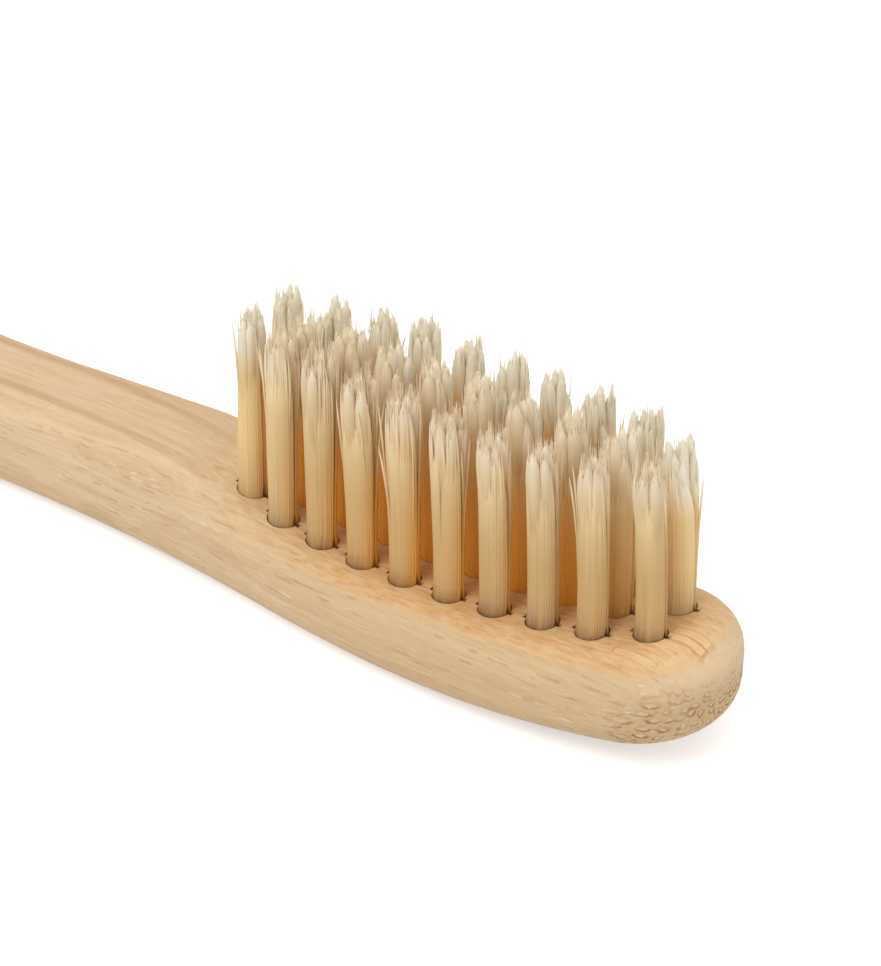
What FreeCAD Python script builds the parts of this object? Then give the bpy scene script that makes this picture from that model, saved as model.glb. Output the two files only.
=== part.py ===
import FreeCAD, Part
import math
import os

import Sketcher
from FreeCAD import Vector

# A manual toothbrush: one bamboo handle, and 28 bristle tufts, each folded over a metal anchor
# and pressed with it into a blind socket in the head.
# Millimetres. The brush lies on its flat back. +X runs along the handle to the tip, +Z runs up
# along the bristles, and the origin is under the middle of the brush. Sketches measure X from
# the butt, and each piece's Placement moves it to the origin.

# The driving sizes, each written once
SIZES = {
    # Handle, seen from above
    "overall_length": 180,
    "head_width": 11.7,
    "tip_radius_share": 0.43,
    "head_widest_from_tip": 14,
    "neck_width": 7.7,
    "neck_from_tip": 43.3,
    "neck_side_share": 0.57,
    "grip_width": 13,
    "grip_widest_from_butt": 48,
    "grip_side_share": 0.6,
    "butt_shoulder_inset": 0.65,
    "butt_shoulder_from_butt": 16,
    "butt_side_radius": 75,
    "butt_corner_land": 0.4,
    # Handle, seen from the side
    "head_thickness": 4.9,
    "face_lowest_from_tip": 20.5,
    "face_radius": 87,
    "face_crest_from_tip": 35.3,
    "face_rise": 1.6,
    "face_share": 0.84,
    "neck_dip_from_tip": 52.7,
    "neck_dip": 0.5,
    "neck_dip_share": 0.5,
    "grip_thickest_from_butt": 62,
    "grip_rise": 2,
    "grip_rise_share": 0.5,
    "butt_drop": 1.3,
    "tip_lift": 1.5,
    "tip_lift_length": 20.5,
    "edge_radius_share": 0.43,
    # Sockets in the head
    "column_pitch": 2.8,
    "last_column_from_tip": 3.9,
    "row_spacing": 2.8,
    "row_bow": 0.48,
    "socket_diameter": 1.8,
    "socket_depth": 2.8,
    "drill_angle": 118,
    # Anchors: short lengths of flat wire
    "anchor_length": 2.2,
    "anchor_height": 1.3,
    "anchor_thickness": 0.25,
    "anchor_gap": 0.02,
    # Tufts
    "tuft_gap": 0.1,
    "fold_gap": 0.05,
    "fold_thickness": 0.5,
    "fold_radius": 0.45,
    "trim_height": 12.4,
    "flare_diameter": 2,
    "flare_below_trim": 2.6,
    "trim_diameter": 1.1,
    # How far cutting outlines run past what they cut
    "overrun": 2,
}

COLUMNS = 10
MIDDLE_OF_COLUMNS = (COLUMNS - 1) / 2

doc = FreeCAD.newDocument("toothbrush")


class Size:
    """A size from the sheet, or one worked out from such sizes, beside the formula that gives it."""

    def __init__(self, value, formula):
        self.value = value
        self.formula = formula

    def join(self, sign, other, value):
        formula = other.formula if isinstance(other, Size) else str(other)
        return Size(value, f"({self.formula} {sign} {formula})")

    def __add__(self, other):
        return self.join("+", other, self.value + plain(other))

    def __sub__(self, other):
        return self.join("-", other, self.value - plain(other))

    def __mul__(self, other):
        return self.join("*", other, self.value * plain(other))

    def __truediv__(self, other):
        return self.join("/", other, self.value / plain(other))

    def __neg__(self):
        return Size(-self.value, f"(-{self.formula})")

    def squared(self):
        return self * self

    def root(self):
        return Size(math.sqrt(self.value), f"sqrt({self.formula})")


def plain(number):
    return number.value if isinstance(number, Size) else number


def fill_sheet():
    """Put the driving sizes in the document's spreadsheet and return them by name."""
    sheet = doc.addObject("Spreadsheet::Sheet", "Sizes")
    for row, (name, value) in enumerate(SIZES.items(), start=1):
        sheet.set(f"A{row}", name)
        sheet.set(f"B{row}", str(value))
        sheet.setAlias(f"B{row}", name)
    doc.recompute()
    return {name: Size(float(sheet.get(name)), f"Sizes.{name}") for name in SIZES}


def bind(item, path, size):
    item.setExpression(path, size.formula)


ZERO = Size(0, "0")
SIZE = fill_sheet()

# Rounding of the handle's edges and of its tip
EDGE_RADIUS = SIZE["head_thickness"] * SIZE["edge_radius_share"]
TIP_RADIUS = SIZE["head_width"] * SIZE["tip_radius_share"]

# Levels above the plane that the brush lies on
MOUTH_LEVEL = SIZE["head_thickness"] + SIZE["face_rise"] + SIZE["overrun"]
SOCKET_FLOOR = SIZE["head_thickness"] - SIZE["socket_depth"]
FOLD_LEVEL = SOCKET_FLOOR + SIZE["fold_gap"]
ANCHOR_LEVEL = FOLD_LEVEL + SIZE["fold_thickness"]
TRIM_LEVEL = SIZE["head_thickness"] + SIZE["trim_height"]


# Drawing and building

def origin_plane(body, role):
    return next(feature for feature in body.Origin.OriginFeatures if feature.Role == role)


class Drawing:
    """A sketch on one of a body's origin planes, with every size in it tied to the sheet.

    An outline is begun at a place, drawn end to end and closed. Its pieces go by number.
    """

    # A sketch numbers a piece's edge and points in this order, and its own axes down from -1
    EDGE, START, FINISH, CENTRE = range(4)
    X_AXIS, Y_AXIS = range(-1, -3, -1)
    ORIGIN = (X_AXIS, START)
    AXES = {"DistanceX": Y_AXIS, "DistanceY": X_AXIS}

    def __init__(self, body, name, role, height=None):
        self.sketch = body.newObject("Sketcher::SketchObject", name)
        self.sketch.AttachmentSupport = [(origin_plane(body, role), "")]
        self.sketch.MapMode = "FlatFace"
        if height is not None:
            bind(self.sketch, "AttachmentOffset.Base.z", height)
        self.geometry = []
        self.constraints = []
        self.sizes = {}
        self.ends = {}
        self.outline = []
        self.here = None

    def begin(self, x, y):
        self.outline = []
        self.here = (x, y)

    def add(self, geometry, first, last, smooth):
        """Add a piece that sets out from the last one's finish, tangent to it where smooth."""
        piece = len(self.geometry)
        self.geometry.append(geometry)
        self.ends[piece] = (first, last)
        if self.outline:
            self.link(self.outline[-1], piece, smooth)
        self.outline.append(piece)
        return piece

    def link(self, before, after, smooth=False):
        kind = "Tangent" if smooth else "Coincident"
        self.hold(kind, before, self.ends[before][1], after, self.ends[after][0])

    def close(self):
        self.link(self.outline[-1], self.outline[0])

    def line_to(self, x, y, smooth=False):
        start = Vector(self.here[0].value, self.here[1].value, 0)
        finish = Vector(x.value, y.value, 0)
        self.here = (x, y)
        return self.add(Part.LineSegment(start, finish), self.START, self.FINISH, smooth)

    def arc_to(self, place, centre, turn, smooth=True):
        """An arc to a place round a centre: anticlockwise if turn is 1, clockwise if it is -1."""
        middle = Vector(centre[0].value, centre[1].value, 0)
        start = Vector(self.here[0].value, self.here[1].value, 0) - middle
        finish = Vector(place[0].value, place[1].value, 0) - middle
        angles = [math.atan2(arm.y, arm.x) for arm in (start, finish)][::turn]
        circle = Part.Circle(middle, Vector(0, 0, 1), start.Length)
        ends = (self.START, self.FINISH)[::turn]
        self.here = place
        return self.add(Part.ArcOfCircle(circle, *angles), *ends, smooth)

    def bend_to(self, finish, first_share, turn):
        """Two tangent arcs from a place where the outline runs level to the next such place.

        The first arc takes its share of the way.
        """
        start = self.here
        run = finish[0] - start[0]
        rise = finish[1] - start[1]
        both_radii = (run.squared() + rise.squared()) / (rise * 2)
        first_radius = both_radii * first_share
        start_centre = (start[0], start[1] + first_radius)
        finish_centre = (finish[0], finish[1] - (both_radii - first_radius))
        meeting = [a + (b - a) * first_share for a, b in zip(start_centre, finish_centre)]
        first = self.arc_to(meeting, start_centre, turn)
        second = self.arc_to(finish, finish_centre, -turn)
        self.radius(first, first_radius if rise.value > 0 else -first_radius)
        self.level(second, finish)

    def box(self, low, high):
        """A closed upright box between two corners."""
        self.begin(*low)
        bottom = self.line_to(high[0], low[1])
        right = self.line_to(*high)
        top = self.line_to(low[0], high[1])
        left = self.line_to(*low)
        self.close()
        self.keep("Horizontal", bottom, top)
        self.keep("Vertical", right, left)
        self.pin(right, *high)
        self.pin(left, *low)

    def circle(self, x, y, radius):
        piece = len(self.geometry)
        centre = Vector(x.value, y.value, 0)
        self.geometry.append(Part.Circle(centre, Vector(0, 0, 1), radius.value))
        self.place(piece, self.CENTRE, x, y)
        self.radius(piece, radius)

    def hold(self, kind, *items):
        self.constraints.append(Sketcher.Constraint(kind, *items))

    def hold_size(self, size, kind, *items):
        """Hold a distance or radius at a size from the sheet."""
        self.sizes[len(self.constraints)] = size
        self.hold(kind, *items, size.value)

    def keep(self, kind, *lines):
        """Hold lines Horizontal or Vertical."""
        for line in lines:
            self.hold(kind, line)

    def place(self, piece, end, x, y):
        """Hold one point of a piece at a place."""
        for kind, distance in (("DistanceX", x), ("DistanceY", y)):
            if distance.value == 0:
                self.hold("PointOnObject", piece, end, self.AXES[kind])
            elif distance.value > 0:
                self.hold_size(distance, kind, *self.ORIGIN, piece, end)
            else:
                self.hold_size(-distance, kind, piece, end, *self.ORIGIN)

    def pin(self, piece, x, y):
        """Hold the finish of a piece at a place."""
        self.place(piece, self.ends[piece][1], x, y)

    def level(self, arc, place):
        """Hold the finish of an arc at a place, and make the outline run level there."""
        self.pin(arc, *place)
        self.hold("Vertical", arc, self.ends[arc][1], arc, self.CENTRE)

    def radius(self, arc, radius):
        self.hold_size(radius, "Radius", arc)

    def finish(self):
        self.sketch.addGeometry(self.geometry, False)
        self.sketch.addConstraint(self.constraints)
        for number, size in self.sizes.items():
            bind(self.sketch, f"Constraints[{number}]", size)
        return self.sketch


def add_feature(body, kind, name, **settings):
    """Add a feature to a body. One that should cut or round, but takes nothing off, is an error."""
    doc.recompute()
    before = body.Shape.Volume if body.Tip else 0
    feature = body.newObject(f"PartDesign::{kind}", name)
    for setting, value in settings.items():
        if isinstance(value, Size):
            bind(feature, setting, value)
        else:
            setattr(feature, setting, value)
    body.Tip = feature
    doc.recompute()
    if before and not body.Shape.Volume < before:
        raise RuntimeError(f"{body.Label}: {name} takes nothing off")
    return feature


def new_body(name):
    body = doc.addObject("PartDesign::Body", name)
    body.Label = name
    return body


def stand(item, x, y=ZERO, z=ZERO):
    """Put a piece where it belongs, X being measured from the butt."""
    bind(item, "Placement.Base.x", x - SIZE["overall_length"] / 2)
    bind(item, "Placement.Base.y", y)
    bind(item, "Placement.Base.z", z)


# Where the tufts stand

def tuft_places():
    """The place of each tuft by row and number, counted from the neck.

    The end columns hold two tufts, half a row's spacing either side of the middle, and the
    others hold three. The outer rows bow in towards the ends of the head.
    """
    middle_from_tip = SIZE["last_column_from_tip"] + SIZE["column_pitch"] * MIDDLE_OF_COLUMNS
    rows = {"right": [], "middle": [], "left": []}
    for column in range(COLUMNS):
        step = column - MIDDLE_OF_COLUMNS
        x = SIZE["overall_length"] - middle_from_tip + SIZE["column_pitch"] * step
        if abs(step) == MIDDLE_OF_COLUMNS:
            reach = SIZE["row_spacing"] / 2
        else:
            bow_share = (step / (MIDDLE_OF_COLUMNS - 1)) ** 2
            reach = SIZE["row_spacing"] - SIZE["row_bow"] * bow_share
            rows["middle"].append((x, ZERO))
        rows["right"].append((x, -reach))
        rows["left"].append((x, reach))
    return {
        f"{row}_{number:02d}": spot
        for row, spots in rows.items()
        for number, spot in enumerate(spots, start=1)
    }


# Handle

def draw_side(body):
    """The handle from the side: flat back that lifts to the tip, hollow face, thicker grip."""
    length = SIZE["overall_length"]
    front = length + SIZE["overrun"]
    rear = -SIZE["overrun"]

    lift_start = length - SIZE["tip_lift_length"]
    lift_sum = SIZE["tip_lift_length"].squared() + SIZE["tip_lift"].squared()
    lift_radius = lift_sum / (SIZE["tip_lift"] * 2)
    lift_reach = (lift_radius.squared() - (front - lift_start).squared()).root()

    face_low = (length - SIZE["face_lowest_from_tip"], SIZE["head_thickness"])
    face_centre = (face_low[0], face_low[1] + SIZE["face_radius"])
    face_reach = (SIZE["face_radius"].squared() - (front - face_low[0]).squared()).root()
    face_crest = (length - SIZE["face_crest_from_tip"], face_low[1] + SIZE["face_rise"])
    neck_dip = (length - SIZE["neck_dip_from_tip"], face_crest[1] - SIZE["neck_dip"])
    grip_crest = (SIZE["grip_thickest_from_butt"], neck_dip[1] + SIZE["grip_rise"])

    butt_radius = (grip_crest[0].squared() + SIZE["butt_drop"].squared()) / (SIZE["butt_drop"] * 2)
    butt_centre = (grip_crest[0], grip_crest[1] - butt_radius)
    butt_reach = (butt_radius.squared() - (grip_crest[0] - rear).squared()).root()

    drawing = Drawing(body, "SideOutline", "XZ_Plane")
    drawing.begin(rear, ZERO)
    back = drawing.line_to(lift_start, ZERO)
    lift = drawing.arc_to((front, lift_radius - lift_reach), (lift_start, lift_radius), 1)
    nose = drawing.line_to(front, face_centre[1] - face_reach)
    face = drawing.arc_to(face_low, face_centre, -1, smooth=False)
    drawing.bend_to(face_crest, SIZE["face_share"], -1)
    drawing.bend_to(neck_dip, SIZE["neck_dip_share"], 1)
    drawing.bend_to(grip_crest, SIZE["grip_rise_share"], -1)
    butt = drawing.arc_to((rear, butt_centre[1] + butt_reach), butt_centre, 1)
    tail = drawing.line_to(rear, ZERO)
    drawing.close()

    drawing.place(back, Drawing.START, rear, ZERO)
    drawing.pin(back, lift_start, ZERO)
    drawing.radius(lift, lift_radius)
    drawing.radius(face, SIZE["face_radius"])
    drawing.level(face, face_low)
    drawing.radius(butt, butt_radius)
    drawing.keep("Vertical", nose, tail)
    drawing.hold_size(front, "DistanceX", *Drawing.ORIGIN, nose, Drawing.START)
    return drawing.finish()


def draw_waste(body):
    """What is cut away beside the left half of the handle, seen from above."""
    length = SIZE["overall_length"]
    front = length + SIZE["overrun"]
    rear = -SIZE["overrun"]
    edge = SIZE["grip_width"] / 2 + SIZE["overrun"]

    grip = (SIZE["grip_widest_from_butt"], SIZE["grip_width"] / 2)
    neck = (length - SIZE["neck_from_tip"], SIZE["neck_width"] / 2)
    head = (length - SIZE["head_widest_from_tip"], SIZE["head_width"] / 2)

    # The grip's rear arc runs level at its widest place and ends at the butt's shoulder
    shoulder = (SIZE["butt_shoulder_from_butt"], grip[1] - SIZE["butt_shoulder_inset"])
    run = grip[0] - shoulder[0]
    drop = grip[1] - shoulder[1]
    rear_radius = (run.squared() + drop.squared()) / (drop * 2)
    rear_centre = (grip[0], grip[1] - rear_radius)

    # From the shoulder a tighter arc runs to the butt's corner, tangent to both
    radius_share = SIZE["butt_side_radius"] / rear_radius
    side_centre = [a + (b - a) * radius_share for a, b in zip(shoulder, rear_centre)]
    corner_radius = EDGE_RADIUS + SIZE["butt_corner_land"]
    between = SIZE["butt_side_radius"] - corner_radius
    corner_rise = (between.squared() - (side_centre[0] - corner_radius).squared()).root()
    corner_centre = (corner_radius, side_centre[1] + corner_rise)
    corner_share = corner_radius / between
    corner_end = [a + (a - b) * corner_share for a, b in zip(corner_centre, side_centre)]

    # In front of its widest place the head has one side arc, which the round tip is tangent to
    tip_centre = (length - TIP_RADIUS, ZERO)
    tip_run = tip_centre[0] - head[0]
    nose_sum = tip_run.squared() + head[1].squared() - TIP_RADIUS.squared()
    nose_radius = nose_sum / ((head[1] - TIP_RADIUS) * 2)
    nose_centre = (head[0], head[1] - nose_radius)
    nose_share = TIP_RADIUS / (nose_radius - TIP_RADIUS)
    nose_end = [a + (a - b) * nose_share for a, b in zip(tip_centre, nose_centre)]

    drawing = Drawing(body, "WasteOutline", "XY_Plane")
    drawing.begin(ZERO, ZERO)
    butt = drawing.line_to(ZERO, corner_centre[1])
    corner = drawing.arc_to(corner_end, corner_centre, -1)
    side = drawing.arc_to(shoulder, side_centre, -1)
    rear_arc = drawing.arc_to(grip, rear_centre, -1)
    drawing.bend_to(neck, SIZE["grip_side_share"], -1)
    drawing.bend_to(head, SIZE["neck_side_share"], 1)
    drawing.arc_to(nose_end, nose_centre, -1)
    tip = drawing.arc_to((length, ZERO), tip_centre, -1)
    middle = drawing.line_to(front, ZERO)
    front_line = drawing.line_to(front, edge)
    side_line = drawing.line_to(rear, edge)
    rear_line = drawing.line_to(rear, ZERO)
    drawing.line_to(ZERO, ZERO)
    drawing.close()

    drawing.hold("Coincident", butt, Drawing.START, *Drawing.ORIGIN)
    drawing.keep("Vertical", butt, front_line)
    drawing.keep("Horizontal", middle, side_line)
    drawing.radius(corner, corner_radius)
    drawing.radius(side, SIZE["butt_side_radius"])
    drawing.pin(side, *shoulder)
    drawing.level(rear_arc, grip)
    drawing.radius(tip, TIP_RADIUS)
    drawing.place(tip, Drawing.CENTRE, *tip_centre)
    drawing.pin(middle, front, ZERO)
    drawing.pin(side_line, rear, edge)
    drawing.pin(rear_line, rear, ZERO)
    return drawing.finish()


def rim_edges(shape):
    """The names of the edges where the handle's walls meet its face and its back."""
    level_share = 0.5
    names = []
    for number, edge in enumerate(shape.Edges, start=1):
        middle = edge.valueAt((edge.FirstParameter + edge.LastParameter) / 2)
        level = []
        for face in shape.ancestorsOfType(edge, Part.Face):
            normal = face.normalAt(*face.Surface.parameter(middle))
            level.append(abs(normal.z))
        if min(level) < level_share < max(level):
            names.append(f"Edge{number}")
    return names


def draw_sockets(body, spots):
    """A circle where each socket is drilled."""
    drawing = Drawing(body, "SocketCircles", "XY_Plane", MOUTH_LEVEL)
    for x, y in spots:
        drawing.circle(x, y, SIZE["socket_diameter"] / 2)
    return drawing.finish()


def draw_anchor_tracks(body, spots):
    """The slit that each anchor cuts across its socket, along the handle, as it is driven in."""
    drawing = Drawing(body, "AnchorTracks", "XY_Plane", MOUTH_LEVEL)
    half_length = SIZE["anchor_length"] / 2 + SIZE["anchor_gap"]
    half_width = SIZE["anchor_thickness"] / 2 + SIZE["anchor_gap"]
    for x, y in spots:
        drawing.box((x - half_length, y - half_width), (x + half_length, y + half_width))
    return drawing.finish()


def make_handle(spots):
    body = new_body("handle")
    width = SIZE["grip_width"] + SIZE["overrun"]
    side = draw_side(body)
    add_feature(body, "Pad", "Blank", Profile=side, SideType="Symmetric", Length=width)
    waste = draw_waste(body)
    cut = add_feature(body, "Pocket", "Waste", Profile=waste, Type="ThroughAll", SideType="Symmetric")
    plane = (origin_plane(body, "XZ_Plane"), [""])
    add_feature(body, "Mirrored", "WasteMirrored", Originals=[cut], MirrorPlane=plane)
    rims = (body.Tip, rim_edges(body.Tip.Shape))
    add_feature(body, "Fillet", "RoundedEdges", Base=rims, Radius=EDGE_RADIUS)
    add_feature(
        body, "Hole", "Sockets",
        Profile=draw_sockets(body, spots),
        DepthType="Dimension",
        Depth=MOUTH_LEVEL - SOCKET_FLOOR,
        Diameter=SIZE["socket_diameter"],
        DrillPoint="Angled",
        DrillPointAngle=SIZE["drill_angle"],
    )
    tracks = draw_anchor_tracks(body, spots)
    add_feature(body, "Pocket", "AnchorSlits", Profile=tracks, Length=MOUTH_LEVEL - ANCHOR_LEVEL)
    stand(body, ZERO)
    return body


# Tufts and anchors

def draw_bundle(body):
    """Half the outline of a tuft: rounded fold, straight shank, flare, and tapered tip."""
    radius = SIZE["socket_diameter"] / 2 - SIZE["tuft_gap"]
    fold = SIZE["fold_radius"]
    fold_centre = (radius - fold, FOLD_LEVEL + fold)
    flare = (SIZE["flare_diameter"] / 2, TRIM_LEVEL - SIZE["flare_below_trim"])
    trim = (SIZE["trim_diameter"] / 2, TRIM_LEVEL)
    run = flare[0] - trim[0]
    tip_radius = (run.squared() + SIZE["flare_below_trim"].squared()) / (run * 2)

    drawing = Drawing(body, "BundleOutline", "XZ_Plane")
    drawing.begin(ZERO, FOLD_LEVEL)
    bottom = drawing.line_to(fold_centre[0], FOLD_LEVEL)
    corner = drawing.arc_to((radius, fold_centre[1]), fold_centre, 1)
    shank = drawing.line_to(radius, SIZE["head_thickness"], smooth=True)
    side = drawing.line_to(*flare)
    tip = drawing.arc_to(trim, (flare[0] - tip_radius, flare[1]), 1, smooth=False)
    top = drawing.line_to(ZERO, TRIM_LEVEL)
    axis = drawing.line_to(ZERO, FOLD_LEVEL)
    drawing.close()

    drawing.place(bottom, Drawing.START, ZERO, FOLD_LEVEL)
    drawing.keep("Horizontal", bottom, top)
    drawing.keep("Vertical", shank, axis)
    drawing.radius(corner, fold)
    drawing.pin(shank, radius, SIZE["head_thickness"])
    drawing.pin(side, *flare)
    drawing.pin(tip, *trim)
    drawing.hold("Horizontal", tip, Drawing.START, tip, Drawing.CENTRE)
    return drawing.finish()


def draw_slot(body):
    """The gap between a tuft's two legs, seen along the handle."""
    half_width = SIZE["anchor_thickness"] / 2 + SIZE["anchor_gap"]
    drawing = Drawing(body, "SlotOutline", "YZ_Plane")
    drawing.box((-half_width, ANCHOR_LEVEL), (half_width, TRIM_LEVEL + SIZE["overrun"]))
    return drawing.finish()


def make_tuft(name, x, y):
    """A bundle of bristles folded in two, with the fold at the bottom of its socket."""
    body = new_body(name)
    bundle = draw_bundle(body)
    add_feature(body, "Revolution", "Bundle", Profile=bundle, ReferenceAxis=(bundle, ["V_Axis"]))
    slot = draw_slot(body)
    add_feature(body, "Pocket", "Slot", Profile=slot, Type="ThroughAll", SideType="Symmetric")
    stand(body, x, y)
    return body


def make_anchor(name, x, y):
    """A stub of flat wire on edge in a tuft's fold, with both its ends in the socket's wall."""
    anchor = doc.addObject("Part::Box", name)
    anchor.Label = name
    bind(anchor, "Length", SIZE["anchor_length"])
    bind(anchor, "Width", SIZE["anchor_thickness"])
    bind(anchor, "Height", SIZE["anchor_height"])
    corner_x = x - SIZE["anchor_length"] / 2
    corner_y = y - SIZE["anchor_thickness"] / 2
    stand(anchor, corner_x, corner_y, ANCHOR_LEVEL + SIZE["anchor_gap"])
    return anchor


# Check and write

def check(pieces):
    """Stop if anything in the document failed or a piece has no sound shape."""
    for item in doc.Objects:
        if "Invalid" in item.State or "Error" in item.State:
            raise RuntimeError(f"{item.Label} failed: {item.State}")
    for piece in pieces:
        if piece.Shape.isNull() or not piece.Shape.isValid():
            raise RuntimeError(f"{piece.Label} has no valid shape")


def write(pieces):
    os.makedirs("parts", exist_ok=True)
    for piece in pieces:
        piece.Shape.exportStep(f"parts/{piece.Label}.step")


def main():
    spots = tuft_places()
    pieces = [make_handle(list(spots.values()))]
    for name, (x, y) in spots.items():
        pieces.append(make_tuft(f"tuft_{name}", x, y))
        pieces.append(make_anchor(f"anchor_{name}", x, y))
    doc.recompute()
    check(pieces)
    write(pieces)
    box = pieces[0].Shape.BoundBox
    print(f"{len(pieces)} pieces; handle {box.XLength:.2f} x {box.YLength:.2f} x {box.ZLength:.2f} mm")


main()
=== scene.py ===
"""A bamboo toothbrush: the CAD handle and anchors with their materials, and tufts of folded filaments.

The filaments and the places in materials are worked out in mm. The camera, the lamps, the floor and
the depths of bumps are in metres. X runs along the brush to its tip, Y across it and Z up.
"""
import math
import random

import bpy
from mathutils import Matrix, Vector
from mathutils.bvhtree import BVHTree


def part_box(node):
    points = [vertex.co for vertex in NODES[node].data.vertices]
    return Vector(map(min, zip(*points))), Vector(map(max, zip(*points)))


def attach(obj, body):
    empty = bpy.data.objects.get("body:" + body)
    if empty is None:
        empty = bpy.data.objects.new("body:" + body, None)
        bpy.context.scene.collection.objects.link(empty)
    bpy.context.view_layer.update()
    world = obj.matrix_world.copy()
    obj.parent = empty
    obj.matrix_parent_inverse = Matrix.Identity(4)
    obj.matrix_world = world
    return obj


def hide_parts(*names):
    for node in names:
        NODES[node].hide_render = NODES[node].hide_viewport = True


MM = 0.001
MM_PER_METRE = 1000.0

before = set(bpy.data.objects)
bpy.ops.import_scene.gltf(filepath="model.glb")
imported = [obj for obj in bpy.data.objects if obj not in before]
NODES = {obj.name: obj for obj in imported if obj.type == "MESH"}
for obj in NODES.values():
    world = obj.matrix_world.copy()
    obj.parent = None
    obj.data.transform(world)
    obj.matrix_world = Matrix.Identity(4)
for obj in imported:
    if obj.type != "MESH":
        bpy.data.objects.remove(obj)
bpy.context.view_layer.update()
scene = bpy.context.scene


# Camera

CAMERA_PLACE = (0.135621, -0.089615, 0.079611)
CAMERA_DEGREES = (57.4017, -0.246, 35.3713)
CAMERA_LENS = 93.78
SENSOR_WIDTH = 36
CLIP_START = 0.005
CLIP_END = 50


def add_camera():
    """The photograph's viewpoint, close to the head, with the neck running out of view."""
    data = bpy.data.cameras.new("camera")
    data.lens = CAMERA_LENS
    data.sensor_width = SENSOR_WIDTH
    data.clip_start = CLIP_START
    data.clip_end = CLIP_END
    camera = bpy.data.objects.new("camera", data)
    camera.location = CAMERA_PLACE
    camera.rotation_euler = [math.radians(angle) for angle in CAMERA_DEGREES]
    scene.collection.objects.link(camera)
    scene.camera = camera


# Node helpers

class Shader:
    """A material's node tree, made by short calls that return an output to use in the next."""

    def __init__(self, name):
        self.material = bpy.data.materials.new(name)
        self.material.use_nodes = True
        self.tree = self.material.node_tree
        self.tree.nodes.clear()

    def put(self, socket, value):
        """Link a node's output to a socket, or set the socket to a number, colour or vector."""
        if isinstance(value, bpy.types.NodeSocket):
            self.tree.links.new(value, socket)
        else:
            socket.default_value = value

    def node(self, kind, inputs=None, **settings):
        node = self.tree.nodes.new(f"ShaderNode{kind}")
        for name, value in settings.items():
            setattr(node, name, value)
        for key, value in (inputs or {}).items():
            self.put(node.inputs[key], value)
        return node

    def find_places(self):
        """Keep the object's own places in mm, as a vector and as x, y and z."""
        place = self.node("TexCoord").outputs["Object"]
        self.mm = self.vector("MULTIPLY", place, (MM_PER_METRE,) * 3)
        self.x, self.y, self.z = self.split(self.mm)

    def math(self, operation, a, b=0.0):
        return self.node("Math", {0: a, 1: b}, operation=operation).outputs[0]

    def plus(self, a, b):
        return self.math("ADD", a, b)

    def minus(self, a, b):
        return self.math("SUBTRACT", a, b)

    def times(self, a, b):
        return self.math("MULTIPLY", a, b)

    def larger(self, a, b):
        return self.math("MAXIMUM", a, b)

    def vector(self, operation, a, b):
        return self.node("VectorMath", {0: a, 1: b}, operation=operation).outputs[0]

    def split(self, vector):
        return self.node("SeparateXYZ", {0: vector}).outputs[:]

    def noise(self, place, scale, detail=2.0, rough=0.5):
        """Noise at a place in mm, with its scale in features per mm along x, y and z."""
        stretched = self.vector("MULTIPLY", place, scale)
        inputs = {"Vector": stretched, "Scale": 1.0, "Detail": detail, "Roughness": rough}
        return self.node("TexNoise", inputs)

    def swing(self, noise, reach):
        """A noise's colour as a shift of up to half the reach to either side."""
        centred = self.vector("SUBTRACT", noise.outputs["Color"], (0.5, 0.5, 0.5))
        return self.vector("MULTIPLY", centred, reach)

    def remap(self, value, low, high, to_low=0.0, to_high=1.0, smooth=False):
        """Carry low and high over to to_low and to_high, held there past both ends."""
        kind = "SMOOTHSTEP" if smooth else "LINEAR"
        inputs = {0: value, 1: low, 2: high, 3: to_low, 4: to_high}
        return self.node("MapRange", inputs, interpolation_type=kind).outputs[0]

    def band(self, value, low, high, soft):
        """1 between low and high, falling to 0 over the width soft outside them."""
        rise = self.remap(value, low - soft, low, smooth=True)
        return self.times(rise, self.remap(value, high, high + soft, 1.0, 0.0, smooth=True))

    def patches(self, boxes, soft_x, soft_y):
        """1 inside any of the boxes, each a low and high x and a low and high y."""
        found = None
        for low_x, high_x, low_y, high_y in boxes:
            along = self.band(self.x, low_x, high_x, soft_x)
            patch = self.times(along, self.band(self.y, low_y, high_y, soft_y))
            found = patch if found is None else self.larger(found, patch)
        return found

    def ramp(self, value, stops):
        node = self.node("ValToRGB", {0: value})
        elements = node.color_ramp.elements
        while len(elements) < len(stops):
            elements.new(1.0)
        for element, (place, shade) in zip(elements, stops):
            element.position = place
            element.color = shade
        return node.outputs[0]

    def mix(self, share, a, b):
        node = self.node("Mix", data_type="RGBA", blend_type="MIX")
        self.put(node.inputs["Factor"], share)
        self.put(node.inputs[6], a)
        self.put(node.inputs[7], b)
        return node.outputs[2]

    def tint(self, share, shade):
        """Mix a colour into the material's tone."""
        self.tone = self.mix(share, self.tone, shade)

    def bump(self, height, distance, strength):
        inputs = {"Height": height, "Distance": distance, "Strength": strength}
        return self.node("Bump", inputs).outputs[0]

    def surface(self, shader):
        output = self.node("OutputMaterial")
        self.tree.links.new(shader, output.inputs["Surface"])
        return self.material


def colour(red, green, blue):
    """An sRGB colour of 0 to 255, as the linear colour that shaders take."""
    def linear(value):
        share = value / 255
        return share / 12.92 if share <= 0.04045 else ((share + 0.055) / 1.055) ** 2.4
    return (linear(red), linear(green), linear(blue), 1.0)


# Bamboo

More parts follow.
